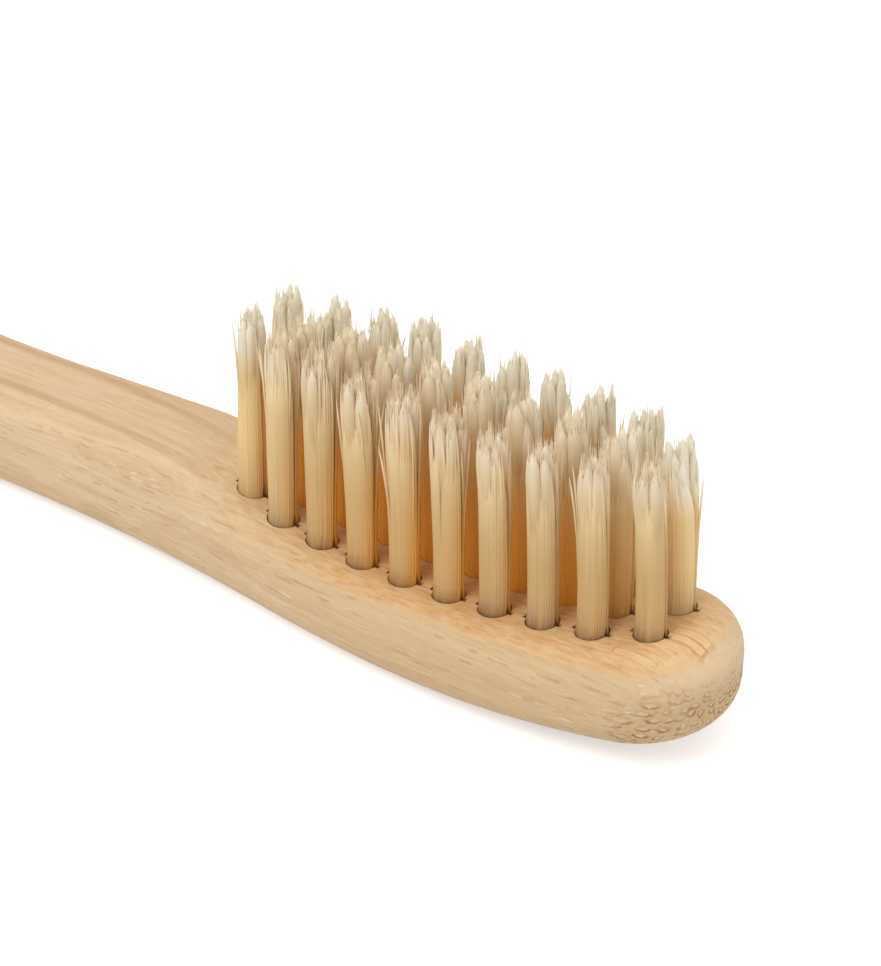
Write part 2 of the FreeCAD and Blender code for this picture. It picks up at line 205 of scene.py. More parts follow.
# The wood's tone by the share of a broad noise, and what is mixed into it
WOOD_RAMP = (
    (0.32, colour(217, 185, 145)),
    (0.52, colour(225, 196, 157)),
    (0.70, colour(232, 205, 169)),
)
HEAD_WOOD = colour(212, 180, 136)
STREAK = colour(204, 165, 117)
PALE_LINE = colour(240, 220, 190)
DARK_LINE = colour(200, 160, 112)
# Painted light that makes the top of the tip end paler
TIP_PAINTED_LIGHT = colour(240, 211, 172)
GROWTH_STRIPE = colour(190, 150, 108)
PORE_GROUND = colour(200, 164, 114)
# A pore's pale middle is a painted highlight, and its crescent is partly its own dark ring and partly
# painted shade
PORE_HIGHLIGHT = colour(243, 222, 192)
PORE_RING_AND_SHADE = colour(142, 98, 52)
DARK_DASH = colour(172, 124, 76)
PALE_DASH = colour(248, 232, 206)
STRIP_TOP = colour(244, 214, 172)
# Painted shadow along the strips' lower sides and tip ends, and a brown line between two of them
STRIP_SHADOW_AND_LINE = colour(172, 124, 76)
# Painted amber light from the bristles on the socket face
FACE_PAINTED_AMBER = colour(226, 164, 84)
TORN_FIBRE = colour(244, 212, 168)
# Painted shade in the hollows of the torn face
TORN_HOLLOW_SHADE = colour(184, 124, 66)

# Growth stripes: the x where each starts, its y there, its slope and its half width
GROWTH_STRIPES = ((46.0, 2.05, -0.085, 0.5), (44.0, -1.5, -0.065, 0.46))
# Raised strips near the tip, their painted shadows and brown line, and the socket face: ranges of x and y
STRIPS = ((86.9, 89.0, -1.42, -0.94), (87.0, 89.15, -0.86, -0.36), (85.2, 87.5, -3.5, -3.12))
STRIP_SHADOWS_AND_LINE = ((87.0, 89.2, -1.56, -1.40), (88.98, 89.12, -1.5, -0.4), (87.0, 89.1, -0.94, -0.86))
SOCKET_FACE = (58.5, 88.5, -4.6, 4.6)
# Ranges over which the wood changes, in x or z
HEAD_DARKENS_X = (58.0, 76.0)
STRIPES_FADE_X = (54.0, 61.0)
# The painted amber light on the socket face grows over this range of x
FACE_AMBER_GROWS_X = (59.0, 70.0)
# Painted light pales the top of the tip end over these ranges of x and z
TIP_LIGHT_X = (86.0, 89.5)
TIP_LIGHT_Z = (4.0, 5.6)
PORES_SHOW_Z = (5.8, 3.2)
WOOD_BUMP = 0.00006


class Bamboo(Shader):
    """Fibres and bundles run along X, so they show as streaks and dashes and, cut across, as pores."""

    def __init__(self):
        super().__init__("bamboo")
        self.find_places()
        facing = self.split(self.node("NewGeometry").outputs["Normal"])
        self.end_grain = self.remap(self.math("ABSOLUTE", facing[0]), 0.06, 0.45, smooth=True)
        self.side = self.remap(self.math("ABSOLUTE", facing[1]), 0.35, 0.85, smooth=True)
        self.top = self.remap(facing[2], 0.5, 0.9, smooth=True)
        slow = self.noise(self.mm, (0.08, 0.3, 0.3))
        self.wander = slow.outputs["Fac"]
        self.grain = self.vector("ADD", self.mm, self.swing(slow, (0.0, 1.5, 1.5)))
        frayed = self.noise(self.mm, (1.5, 5.0, 5.0))
        self.across = self.split(self.vector("ADD", self.grain, self.swing(frayed, (0.0, 0.22, 0.22))))

    def add_grain(self):
        """Broad tone, streaks and hair-fine lines, darker wood at the head and painted light on the top of
        the tip end.
        """
        broad = self.noise(self.grain, (0.03, 0.5, 0.5), 3.0).outputs["Fac"]
        self.streak = self.noise(self.grain, (0.1, 2.6, 2.6), 4.0, 0.62).outputs["Fac"]
        self.line = self.noise(self.grain, (0.45, 12.0, 12.0), 3.0, 0.6).outputs["Fac"]
        self.tone = self.ramp(broad, WOOD_RAMP)
        self.tint(self.remap(self.x, *HEAD_DARKENS_X, 0.0, 0.55, smooth=True), HEAD_WOOD)
        self.tint(self.remap(self.streak, 0.42, 0.68, 0.0, 0.42), STREAK)
        self.tint(self.remap(self.line, 0.50, 0.75, 0.0, 0.30), PALE_LINE)
        self.tint(self.remap(self.line, 0.46, 0.28, 0.0, 0.22), DARK_LINE)
        # Painted light: the top of the tip end is made paler
        near_tip = self.remap(self.x, *TIP_LIGHT_X, 0.0, 0.6)
        self.tint(self.times(near_tip, self.remap(self.z, *TIP_LIGHT_Z)), TIP_PAINTED_LIGHT)

    def add_growth_stripes(self):
        """Two soft stripes along the top of the neck, which fade out at the head."""
        wavy = self.plus(self.y, self.remap(self.wander, 0.3, 0.7, -0.16, 0.16))
        stripes = None
        for start, middle, slope, width in GROWTH_STRIPES:
            past = self.larger(self.minus(self.x, start), 0.0)
            line = self.plus(self.times(past, slope), middle)
            gap = self.math("ABSOLUTE", self.minus(wavy, line))
            stripe = self.remap(gap, 0.08, width, 1.0, 0.0, smooth=True)
            stripes = stripe if stripes is None else self.larger(stripes, stripe)
        fade = self.remap(self.x, *STRIPES_FADE_X, 1.0, 0.15, smooth=True)
        stripes = self.times(self.times(stripes, fade), self.top)
        self.tint(self.times(stripes, 0.5), GROWTH_STRIPE)

    def cells(self, y_scale, z_scale, randomness):
        """Each fibre's cell across the grain: the place in cells, and the cells' node."""
        sides = {0: self.times(self.across[1], y_scale), 1: self.times(self.across[2], z_scale)}
        place = self.node("CombineXYZ", sides).outputs[0]
        inputs = {"Vector": place, "Scale": 1.0, "Randomness": randomness}
        return place, self.node("TexVoronoi", inputs, voronoi_dimensions="2D")

    def add_pores(self):
        """Vascular bundles: endless tubes, each with a painted highlight in the middle and a dark ring that
        painted shade deepens below it.
        """
        place, bundle = self.cells(1.8, 2.0, 0.85)
        rough_edge = self.noise(self.mm, (5.0, 5.0, 5.0)).outputs["Fac"]
        near = self.plus(bundle.outputs["Distance"], self.remap(rough_edge, 0.3, 0.7, -0.07, 0.07))
        inside = self.split(self.vector("SUBTRACT", place, bundle.outputs["Position"]))
        outer = self.remap(near, 0.36, 0.52, 1.0, 0.0, smooth=True)
        ring = self.times(self.remap(near, 0.18, 0.30, smooth=True), outer)
        # Painted shade: the bundle's own dark ring is made darker below its middle
        shaded_crescent = self.times(ring, self.remap(inside[1], -0.15, 0.12, 1.0, 0.3, smooth=True))
        # The pale middle is a painted highlight
        highlight = self.remap(near, 0.08, 0.24, 1.0, 0.0, smooth=True)
        blotch = self.noise(self.mm, (0.7, 0.7, 0.7), 1.0).outputs["Fac"]
        low_down = self.remap(self.z, *PORES_SHOW_Z, 0.12, 1.0, smooth=True)
        shown = self.larger(self.times(self.end_grain, low_down), 0.1)
        shown = self.times(shown, self.remap(blotch, 0.35, 0.6, 0.45, 1.0))
        self.shaded_pores = self.times(shaded_crescent, shown)
        self.tint(self.times(shown, 0.4), PORE_GROUND)
        self.tint(self.times(self.times(highlight, shown), 0.35), PORE_HIGHLIGHT)
        self.tint(self.times(self.shaded_pores, 0.9), PORE_RING_AND_SHADE)

    def add_dashes(self):
        """Short brown and pale dashes, mostly on the sides."""
        fibre = self.cells(3.6, 3.6, 1.0)[1]
        core = self.remap(fibre.outputs["Distance"], 0.08, 0.36, 1.0, 0.0, smooth=True)
        kind = self.node("SeparateColor", {0: fibre.outputs["Color"]}).outputs
        beat = self.node("CombineXYZ", {0: self.times(self.x, 0.75), 1: self.times(kind[0], 40.0)})
        inputs = {"Vector": beat.outputs[0], "Scale": 1.0, "Detail": 1.0}
        broken = self.node("TexNoise", inputs).outputs["Fac"]
        dash = self.times(core, self.remap(broken, 0.48, 0.56, smooth=True))
        dash = self.times(dash, self.remap(self.side, 0.0, 1.0, 0.25, 1.0))
        self.dark_dash = self.times(dash, self.remap(kind[1], 0.35, 0.5))
        pale_dash = self.times(dash, self.remap(kind[1], 0.25, 0.15))
        self.tint(self.times(self.dark_dash, 0.38), DARK_DASH)
        self.tint(self.times(pale_dash, 0.4), PALE_DASH)

    def add_strips(self):
        """Raised strips of fibre that the cutter left by the last sockets, with painted shadows and a brown
        line.
        """
        self.strips = self.times(self.patches(STRIPS, 0.07, 0.05), self.top)
        # Painted shadow along the strips' lower sides and tip ends, and the brown line between two strips
        shadows_and_line = self.times(self.patches(STRIP_SHADOWS_AND_LINE, 0.05, 0.04), self.top)
        self.tint(self.times(self.strips, 0.45), STRIP_TOP)
        self.tint(self.times(shadows_and_line, 0.45), STRIP_SHADOW_AND_LINE)

    def add_torn_face(self):
        """Fibres torn up between the sockets, with painted amber light from the bristles and painted shade
        in the hollows.
        """
        self.face = self.times(self.patches([SOCKET_FACE], 1.0, 0.6), self.top)
        # Painted amber light from the bristles, more of it towards the tip
        self.tint(self.times(self.face, self.remap(self.x, *FACE_AMBER_GROWS_X, 0.0, 0.4)), FACE_PAINTED_AMBER)
        self.torn = self.noise(self.mm, (0.9, 4.5, 4.5), 3.0, 0.6).outputs["Fac"]
        ragged = self.times(self.remap(self.torn, 0.46, 0.60), self.face)
        self.tint(self.times(ragged, 0.35), TORN_FIBRE)
        # Painted shade in the hollows between the torn fibres
        hollow_shade = self.times(self.remap(self.torn, 0.40, 0.30), self.face)
        self.tint(self.times(hollow_shade, 0.45), TORN_HOLLOW_SHADE)

    def relief(self):
        """Streaks, lines, strips and torn fibres stand up, and dashes and pores are sunk."""
        height = self.plus(self.times(self.streak, 0.5), self.times(self.line, 0.45))
        height = self.minus(height, self.times(self.dark_dash, 0.25))
        height = self.minus(height, self.times(self.shaded_pores, 0.25))
        height = self.plus(height, self.times(self.strips, 0.9))
        return self.plus(height, self.times(self.times(self.torn, self.face), 1.6))

    def finished(self):
        self.add_grain()
        self.add_growth_stripes()
        self.add_pores()
        self.add_dashes()
        self.add_strips()
        self.add_torn_face()
        principled = self.node("BsdfPrincipled", {
            "Base Color": self.tone,
            "Roughness": self.remap(self.streak, 0.3, 0.7, 0.5, 0.68),
            "Specular IOR Level": 0.25,
            "Normal": self.bump(self.relief(), WOOD_BUMP, 0.8),
        })
        return self.surface(principled.outputs[0])


# Bristles

# A filament's tone by the share of the way up it, and what is mixed into it
BRISTLE_RAMP = (
    # Painted shade: the first stops darken each filament's foot at the socket's mouth
    (0.0, colour(126, 90, 56)),
    (0.03, colour(166, 128, 86)),
    (0.09, colour(194, 156, 110)),
    (0.2, colour(205, 167, 113)),
    (0.42, colour(208, 172, 117)),
    (0.66, colour(224, 192, 140)),
    (0.84, colour(243, 217, 171)),
    (0.93, colour(250, 229, 196)),
    (1.0, colour(253, 238, 212)),
)
WARM_LOCK = colour(232, 178, 100)
PALE_FILAMENT = colour(250, 236, 206)
# Painted light that pales the far rows and the neck end
FAR_BODY_LIGHT = colour(254, 222, 162)
FAR_TIP_LIGHT = colour(255, 248, 228)
AMBER = colour(252, 184, 70)

# Where the amber lies: an ellipse on the head, by its middle and its half length and half width
AMBER_MIDDLE_X = 72.5
AMBER_HALF_LENGTH = 15.5
AMBER_HALF_WIDTH = 4.35
# Ranges over which filaments change: paler by painted light at the neck end and in far rows, less amber
# higher up
NECK_END_X = (66.0, 61.0)
FAR_ROWS_Y = (-2.0, 1.0)
AMBER_FADES_Z = (7.5, 14.5)
FINE_BUMP = 0.00001


class Bristle(Shader):
    """Milky tapered filaments: beige with painted shade at the foot, painted amber light between the tufts,
    pale at the tips.
    """

    def __init__(self):
        super().__init__("bristle")
        strand = self.node("UVMap", uv_map="strand").outputs[0]
        self.chance, self.height = self.split(strand)[:2]
        self.find_places()

    def add_body(self):
        """The tone up a filament, with painted shade at the foot, warmer locks and some paler filaments."""
        self.tone = self.ramp(self.height, BRISTLE_RAMP)
        lock = self.noise(self.mm, (2.4, 2.4, 0.1)).outputs["Fac"]
        below_tips = self.remap(self.height, 0.55, 0.95, 1.0, 0.15)
        self.tint(self.times(self.remap(lock, 0.42, 0.66, 0.0, 0.35), below_tips), WARM_LOCK)
        self.tint(self.remap(self.chance, 0.0, 1.0, 0.0, 0.12), PALE_FILAMENT)

    def add_far_row_light(self):
        """Painted light: paler above the foot at the neck end and in the far rows, and whiter at the tips
        there.
        """
        neck_end = self.remap(self.x, *NECK_END_X, smooth=True)
        far_light = self.larger(neck_end, self.remap(self.y, *FAR_ROWS_Y, smooth=True))
        above_foot = self.remap(self.height, 0.04, 0.4, 0.4, 0.8, smooth=True)
        # Painted light, paler in the far rows and at the neck end
        self.tint(self.times(far_light, above_foot), FAR_BODY_LIGHT)
        self.tint(self.times(far_light, self.remap(self.height, 0.66, 0.94, 0.0, 0.9, smooth=True)), FAR_TIP_LIGHT)

    def add_amber(self):
        """Light that passes through many filaments turns amber, low down between the tufts."""
        along = self.times(self.minus(self.x, AMBER_MIDDLE_X), 1 / AMBER_HALF_LENGTH)
        across = self.times(self.y, 1 / AMBER_HALF_WIDTH)
        square = self.plus(self.math("POWER", along, 2.0), self.math("POWER", across, 2.0))
        inner = self.remap(square, 0.28, 0.76, 1.0, 0.0, smooth=True)
        low_down = self.remap(self.z, *AMBER_FADES_Z, 1.0, 0.0, smooth=True)
        self.tint(self.times(self.times(inner, low_down), 0.9), AMBER)

    def finished(self):
        self.add_body()
        self.add_far_row_light()
        self.add_amber()
        lines = self.noise(self.mm, (14.0, 14.0, 0.6)).outputs["Fac"]
        principled = self.node("BsdfPrincipled", {
            "Base Color": self.tone,
            "Roughness": self.remap(lines, 0.3, 0.7, 0.5, 0.65),
            "Specular IOR Level": 0.15,
            "Normal": self.bump(lines, FINE_BUMP, 0.4),
        })
        glow = self.node("BsdfTranslucent", {"Color": self.tone})
        share = self.remap(self.height, 0.5, 1.0, 0.03, 0.05)
        solid = self.node("MixShader", {0: share, 1: principled.outputs[0], 2: glow.outputs[0]})
        return self.surface(solid.outputs[0])


# Anchor wire

BRIGHT_BRASS = colour(212, 176, 96)
DULL_BRASS = colour(178, 138, 66)


def brass():
    """Drawn flat wire, with fine lines along it and dull patches."""
    shader = Shader("anchor_wire")
    shader.find_places()
    lines = shader.noise(shader.mm, (0.8, 30.0, 30.0), 3.0).outputs["Fac"]
    patch = shader.noise(shader.mm, (1.5, 3.0, 3.0)).outputs["Fac"]
    principled = shader.node("BsdfPrincipled", {
        "Base Color": shader.mix(shader.remap(patch, 0.35, 0.7), BRIGHT_BRASS, DULL_BRASS),
        "Metallic": 1.0,
        "Roughness": shader.remap(lines, 0.3, 0.7, 0.24, 0.42),
        "Normal": shader.bump(lines, FINE_BUMP, 0.5),
    })
    return shader.surface(principled.outputs[0])


# Tufts of filaments, in mm. A share alone is of the way up a filament.

FIRST_COLUMN_X = 60.9
COLUMNS_LENGTH = 25.2
SHANK_RADIUS = 0.8
SLOT_HALF = 0.15

# How far a tuft leans towards the tip, by its column, and to its own side, as a share of its y
NECK_LEAN = 0.38
LEAN_LOSS = 0.83
LEAN_CHANCE = 0.1
SIDE_LEAN = 0.05
SIDE_LEAN_CHANCE = 0.14

# How uneven the right row is at the neck end, and how much less at the tip
NECK_RAGGED = 0.7
RAGGED_LOSS = 0.4

# The legs on either side of the slot, by the sign of their y
LEGS = (-1, 1)

# How filaments are packed in the socket
FILAMENT_RADIUS = 0.078
FILAMENT_PITCH = 0.104
ROW_PITCH = FILAMENT_PITCH * 0.87
SLOT_CLEARANCE = FILAMENT_RADIUS * 0.7
JITTER = FILAMENT_RADIUS * 0.16
SIDES = 6

# The shares at which a filament has points, and how it thins from one share on to its tip
STRAND_SHARES = (0.0, 0.07, 0.3, 0.6, 0.8, 0.89, 0.94, 0.975, 1.0)
TAPER_SHARE = 0.88
TAPER = 0.86
TAPER_POWER = 1.2

# How a leg closes in over the slot and how much wider it is at the mouth, and the powers of the share
# by which it spreads to its full width, gathers and leans
SLOT_CLOSING = 0.11
SLOT_CLOSED_SHARE = 0.07
MOUTH_SPREAD = 0.07
SPREAD_POWER = 1.3
GATHER_POWER = 4
LEAN_POWER = 1.5

# How far a filament is drawn to its lock, how uneven the lengths are, and how a filament sways
LOCK_PULL = (0.2, 0.6)
LENGTH_SPREAD = 0.22
LEAST_UNEVEN = 0.4
SWAY = (0.005, 0.02)
SWAY_PHASES = (0, 6.28)
SWAY_RATE_X = 5.0
SWAY_RATE_Y = 4.0

# The fold under the anchor, and its points: each one's share of y to the side, then its height above
# the fold's floor, as a share of y and a length more
FOLD_SPAN = 0.5
FOLD_STEEPNESS = 0.75
FOLD_GAP = 0.02
FOLD_THINNING = 0.9
FOLD_POINTS = ((-1, 0.8, 0.1), (-0.6, 0.0, 0.05), (0, 0.0, 0.0), (0.6, 0.0, 0.05), (1, 0.8, 0.1))

# The core of a leg: its middle's y from the tuft's, its ends, how far inside the leg's outline it is,
# the points of its outline, its random number and its size at each share
CORE_MIDDLE = 0.42
CORE_BELOW_TRIM = 0.9
CORE_ABOVE_FOLD = 0.2
CORE_INSET = 0.022
CORE_POINTS = 16
CORE_CHANCE = 0.5
CORE_RINGS = ((0.0, 1.0), (0.07, 1.0), (0.3, 1.0), (0.55, 0.99), (0.74, 0.94), (0.84, 0.8), (0.9, 0.45))

# Locks, which the filaments gather into: how they are placed and how far below the trim they end, then
# the foot, the ridges and grooves, and the radius at each share of the thick of a lock
LOCKS = 3
LOCK_TURN = 0.25
LOCK_PLACES = (0.3, 0.5)
LOCK_OFFSET = 0.16
LOCK_REACH = 0.45
DEEPEST_LOCK = 1.8
OUTER_LOCK_DROP = 0.15
MIDDLE_LOCK_SHIFT = 0.12
MIDDLE_LOCK_DROP = 0.35
LOCK_BELOW_TRIM = 0.36
LOCK_FOOT = 0.7
LOCK_FOOT_SHIFT = 0.08
RIDGES = 13
RIDGE_FACTORS = (0.98, 1.12)
GROOVE_FACTOR = 0.84
LOCK_RINGS = (
    (0.25, 0.05), (0.45, 0.22), (0.6, 0.32), (0.74, 0.38),
    (0.85, 0.38), (0.91, 0.33), (0.955, 0.24), (1.0, 0.06),
)

# Short filaments, strays that lean out, and fine hairs, which are the last points of a strand
SHORT_CHANCE = 0.05
SHORT_DROPS = (0.3, 1.4)
STRAYS = 4
STRAY_SIDES = 5
STRAY_RADIUS = FILAMENT_RADIUS * 0.8
STRAY_SPARE = (-0.9, 0.2)
STRAY_REACH = (0.15, 0.7)
STRAY_POWER = 3
HAIR_SIDES = 4
HAIR_RADIUS = 0.026
HAIR_TAPER = 0.7
HAIR_FIRST = 5

# By row: how far a lock's rim is below its middle, how unequal its locks are, how thick they are,
# how many hairs a leg has and how much longer than a filament they are
ROW_RISE = {"right": 1.1, "middle": 1.1, "left": 1.9}
ROW_SPREAD = {"right": 0.5, "middle": 0.55, "left": 0.9}
ROW_THICK = {"right": 0.98, "middle": 1.05, "left": 0.86}
ROW_HAIRS = {"right": 36, "middle": 18, "left": 14}
ROW_SPARE = {"right": 1.2, "middle": 1.2, "left": 1.6}

# How wide a tuft's top is, as a factor: by tuft from the neck to the tip in the right row, and elsewhere
RIGHT_FLARES = (1.0, 1.28, 1.4, 1.4, 1.32, 1.32, 1.22, 1.12, 1.04, 1.1)
FAR_FLARE = 1.24

# How far a tuft ends below its CAD tuft's top, by tuft from the neck to the tip
TRIM_DROPS = {
    "right": (0.2, 0.25, 0.35, 0.6, 0.95, 1.1, 1.3, 1.1, 0.9, 0.8),
    "middle": (0.3, 0.2, 0.25, 0.35, 0.3, 0.4, 0.4, 0.5),
    "left": (0.1, 0.25, 0.05, 0.1, 0.25, 0.25, 0.15, 0.2, 0.3, 0.6),
}


def strand_tapers():
    """A filament's thickness at each of its shares, as a factor: full below, thin at the tip."""
    tapers = []
    for share in STRAND_SHARES:
        past = max(share - TAPER_SHARE, 0.0) / (1 - TAPER_SHARE)
        tapers.append(1.0 - TAPER * past ** TAPER_POWER)
    return tapers


TAPERS = strand_tapers()


def leg_spots(chance):
    """Places of one leg's filaments: round the edge of its half disc, then in rows inside."""
    limit = SHANK_RADIUS - FILAMENT_RADIUS
    inside = SLOT_HALF + SLOT_CLEARANCE
    start = math.asin(inside / limit)
    spots = []
    count = round((math.pi - 2 * start) * limit / FILAMENT_PITCH)
    for i in range(count + 1):
        angle = start + (math.pi - 2 * start) * i / count
        spots.append((math.cos(angle) * limit, math.sin(angle) * limit))
    edge = limit - FILAMENT_PITCH
    y = inside
    while y <= edge:
        count = int(2 * math.sqrt(edge ** 2 - y ** 2) / FILAMENT_PITCH)
        for i in range(count + 1):
            spots.append(((i - count / 2) * FILAMENT_PITCH, y))
        y += ROW_PITCH
    return [(x + chance.uniform(-JITTER, JITTER), y + chance.uniform(-JITTER, JITTER)) for x, y in spots]


def half_disc(radius, inside, count):
    """An outline of one leg's cross-section, from the slot's side round its arc."""
    start = math.asin(inside / radius)
    turns = [start + (math.pi - 2 * start) * i / (count - 1) for i in range(count)]
    return [(math.cos(turn) * radius, math.sin(turn) * radius) for turn in turns]


# A path runs nearly along Y where its direction crossed with Y is shorter than this
NEARLY_ALONG_Y = 0.1


class Weave:
    """Gathers one mesh of closed tubes, and for each vertex a random number and its share of the way up."""

    def __init__(self):
        self.verts, self.faces, self.strands = [], [], []

    def add(self, rings, shades):
        """Close a row of rings, each a list of points, into one solid."""
        start, count = len(self.verts), len(rings[0])
        for ring, shade in zip(rings, shades):
            self.verts.extend(ring)
            self.strands.extend([shade] * count)
        for i in range(len(rings) - 1):
            lower = start + i * count
            upper = lower + count
            for k in range(count):
                after = (k + 1) % count
                self.faces.append((lower + k, lower + after, upper + after, upper + k))
        self.faces.append(tuple(start + k for k in reversed(range(count))))
        last = start + (len(rings) - 1) * count
        self.faces.append(tuple(last + k for k in range(count)))

    def tube(self, path, radii, shades, flutes=(1.0,) * SIDES):
        """A tube along a path, with one vertex per flute, each a factor of the radius."""
        rings = []
        turns = [(2 * math.pi * k / len(flutes), flute) for k, flute in enumerate(flutes)]
        for i, point in enumerate(path):
            along = (path[min(i + 1, len(path) - 1)] - path[max(i - 1, 0)]).normalized()
            side = along.cross(Vector((0.0, 1.0, 0.0)))
            if side.length < NEARLY_ALONG_Y:
                side = along.cross(Vector((1.0, 0.0, 0.0)))
            side.normalize()
            other = along.cross(side)
            ring = []
            for turn, flute in turns:
                out = side * math.cos(turn) + other * math.sin(turn)
                ring.append(point + out * radii[i] * flute)
            rings.append(ring)
        self.add(rings, shades)

    def object(self, name, material):
        """The mesh as an object, with each vertex's random number and share in the UV map strand."""
        mesh = bpy.data.meshes.new(name)
        mesh.from_pydata([vertex * MM for vertex in self.verts], [], self.faces)
        layer = mesh.uv_layers.new(name="strand")
        for loop in mesh.loops:
            layer.data[loop.index].uv = self.strands[loop.vertex_index]
        mesh.polygons.foreach_set("use_smooth", [True] * len(mesh.polygons))
        mesh.materials.append(material)
        piece = bpy.data.objects.new(name, mesh)
        scene.collection.objects.link(piece)
        return piece


class Tuft:
    """One tuft: filaments folded under the anchor, with two legs that gather into locks."""

    def __init__(self, name, number, face_z):
        low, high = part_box(name)
        low, high = low / MM, high / MM
        self.name = name
        self.face_z = face_z
        self.centre = (low + high) / 2
        self.anchor_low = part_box(name.replace("tuft", "anchor"))[0].z / MM
        self.chance = random.Random(number)
        self.spots = leg_spots(self.chance)
        near_tip = (self.centre.x - FIRST_COLUMN_X) / COLUMNS_LENGTH
        lean_chance = self.chance.uniform(-LEAN_CHANCE, LEAN_CHANCE)
        self.lean = NECK_LEAN - LEAN_LOSS * near_tip + lean_chance
        side_chance = self.chance.uniform(-SIDE_LEAN_CHANCE, SIDE_LEAN_CHANCE)
        self.side_lean = SIDE_LEAN * self.centre.y + side_chance
        self.row, column = name.split("_")[1:]
        place = int(column) - 1
        self.flare = RIGHT_FLARES[place] if self.row == "right" else FAR_FLARE
        self.ragged = NECK_RAGGED - RAGGED_LOSS * near_tip if self.row == "right" else 1.0
        self.trim = high.z - TRIM_DROPS[self.row][place]
        self.locks = {}
        self.weave = Weave()

    def bend(self, x, y, share, end):
        """Where a strand from the socket's mouth at x, y to its end is, at a share of its length."""
        centre = self.centre
        point = Vector((centre.x + x, centre.y + y, self.face_z)).lerp(end, share)
        wide = 1 + MOUTH_SPREAD + (self.flare - 1 - MOUTH_SPREAD) * share ** SPREAD_POWER
        gather = share ** GATHER_POWER
        leaning = share ** LEAN_POWER
        point.x = centre.x + x * wide * (1 - gather) + (end.x - centre.x) * gather + self.lean * leaning
        y -= math.copysign(SLOT_CLOSING * min(share / SLOT_CLOSED_SHARE, 1.0), y)
        point.y = centre.y + y * wide * (1 - gather) + (end.y - centre.y) * gather + self.side_lean * leaning
        return point

    def place_locks(self, leg):
        """Places of a leg's locks and how far below the trim each ends: some outer ones and one inside."""
        chance = self.chance
        locks = []
        for i in range(LOCKS):
            angle = math.pi * (i + 0.5) / LOCKS + chance.uniform(-LOCK_TURN, LOCK_TURN)
            reach = chance.uniform(*LOCK_PLACES)
            drop = min(abs(chance.gauss(0.0, ROW_SPREAD[self.row])), DEEPEST_LOCK) * self.ragged
            y = leg * (math.sin(angle) * reach + LOCK_OFFSET)
            locks.append((math.cos(angle) * reach, y, drop + OUTER_LOCK_DROP))
        shift = chance.uniform(-MIDDLE_LOCK_SHIFT, MIDDLE_LOCK_SHIFT)
        locks.append((shift, leg * LOCK_OFFSET, chance.uniform(0.0, MIDDLE_LOCK_DROP)))
        self.locks[leg] = locks

    def add_core(self, leg):
        """A core that the outer filaments lie against."""
        centre = self.centre
        outline = half_disc(SHANK_RADIUS - CORE_INSET, SLOT_HALF + CORE_INSET, CORE_POINTS)
        lowest = max(drop for x, y, drop in self.locks[leg])
        top = Vector((centre.x, centre.y + leg * CORE_MIDDLE, self.trim - CORE_BELOW_TRIM - lowest))
        foot_z = self.anchor_low + CORE_ABOVE_FOLD
        rings = [[Vector((centre.x + x, centre.y + leg * y, foot_z)) for x, y in outline]]
        for share, size in CORE_RINGS:
            ring = []
            for x, y in outline:
                end = Vector((centre.x + x * self.flare, centre.y + leg * y * self.flare, top.z))
                inner_y = CORE_MIDDLE + (y - CORE_MIDDLE) * size
                ring.append(self.bend(x * size, leg * inner_y, share, end.lerp(top, 1 - size)))
            rings.append(ring)
        if leg < 0:
            rings = [ring[::-1] for ring in rings]
        shades = [(CORE_CHANCE, 0.0)] + [(CORE_CHANCE, share) for share, size in CORE_RINGS]
        self.weave.add(rings, shades)

    def add_locks(self, leg):
        """The thick of each lock, a fluted cone that its outer filaments lie against."""
        centre, chance, flare = self.centre, self.chance, self.flare
        radii = [radius * ROW_THICK[self.row] for share, radius in LOCK_RINGS]
        for x, y, drop in self.locks[leg]:
            foot_x, foot_y = x * LOCK_FOOT, y * LOCK_FOOT + leg * LOCK_FOOT_SHIFT
            end = Vector((centre.x + x * flare, centre.y + y * flare, self.trim - drop - LOCK_BELOW_TRIM))
            path = [self.bend(foot_x, foot_y, share, end) for share, radius in LOCK_RINGS]
            shades = [(chance.random(), share) for share, radius in LOCK_RINGS]
            flutes = []
            for i in range(RIDGES):
                flutes += [chance.uniform(*RIDGE_FACTORS), GROOVE_FACTOR]
            self.weave.tube(path, radii, shades, flutes)

    def strand(self, x, y, leg, spare=0.0):
        """The points of one leg's filament. With length to spare it ends higher, but not above the trim."""
        centre, chance, flare = self.centre, self.chance, self.flare
        y *= leg
        lock_x, lock_y, drop = min(self.locks[leg], key=lambda lock: (lock[0] - x) ** 2 + (lock[1] - y) ** 2)
        apart = math.hypot(lock_x - x, lock_y - y) / LOCK_REACH
        pull = chance.uniform(*LOCK_PULL)
        end_x = x * flare * (1 - pull) + lock_x * flare * pull
        end_y = y * flare * (1 - pull) + lock_y * flare * pull
        uneven = abs(chance.gauss(0.0, LENGTH_SPREAD)) * (LEAST_UNEVEN + (1 - LEAST_UNEVEN) * self.ragged)
        drop = drop + uneven + ROW_RISE[self.row] * apart ** 2
        if chance.random() < SHORT_CHANCE:
            drop += chance.uniform(*SHORT_DROPS)
        end = Vector((centre.x + end_x, centre.y + end_y, self.trim - max(drop - spare, 0.0)))
        phase = chance.uniform(*SWAY_PHASES)
        sway = chance.uniform(*SWAY)
        points = []
        for share in STRAND_SHARES:
            point = self.bend(x, y, share, end)
            point.x += math.sin(phase + share * SWAY_RATE_X) * sway * share
            point.y += math.cos(phase + share * SWAY_RATE_Y) * sway * share
            points.append(point)
        return points

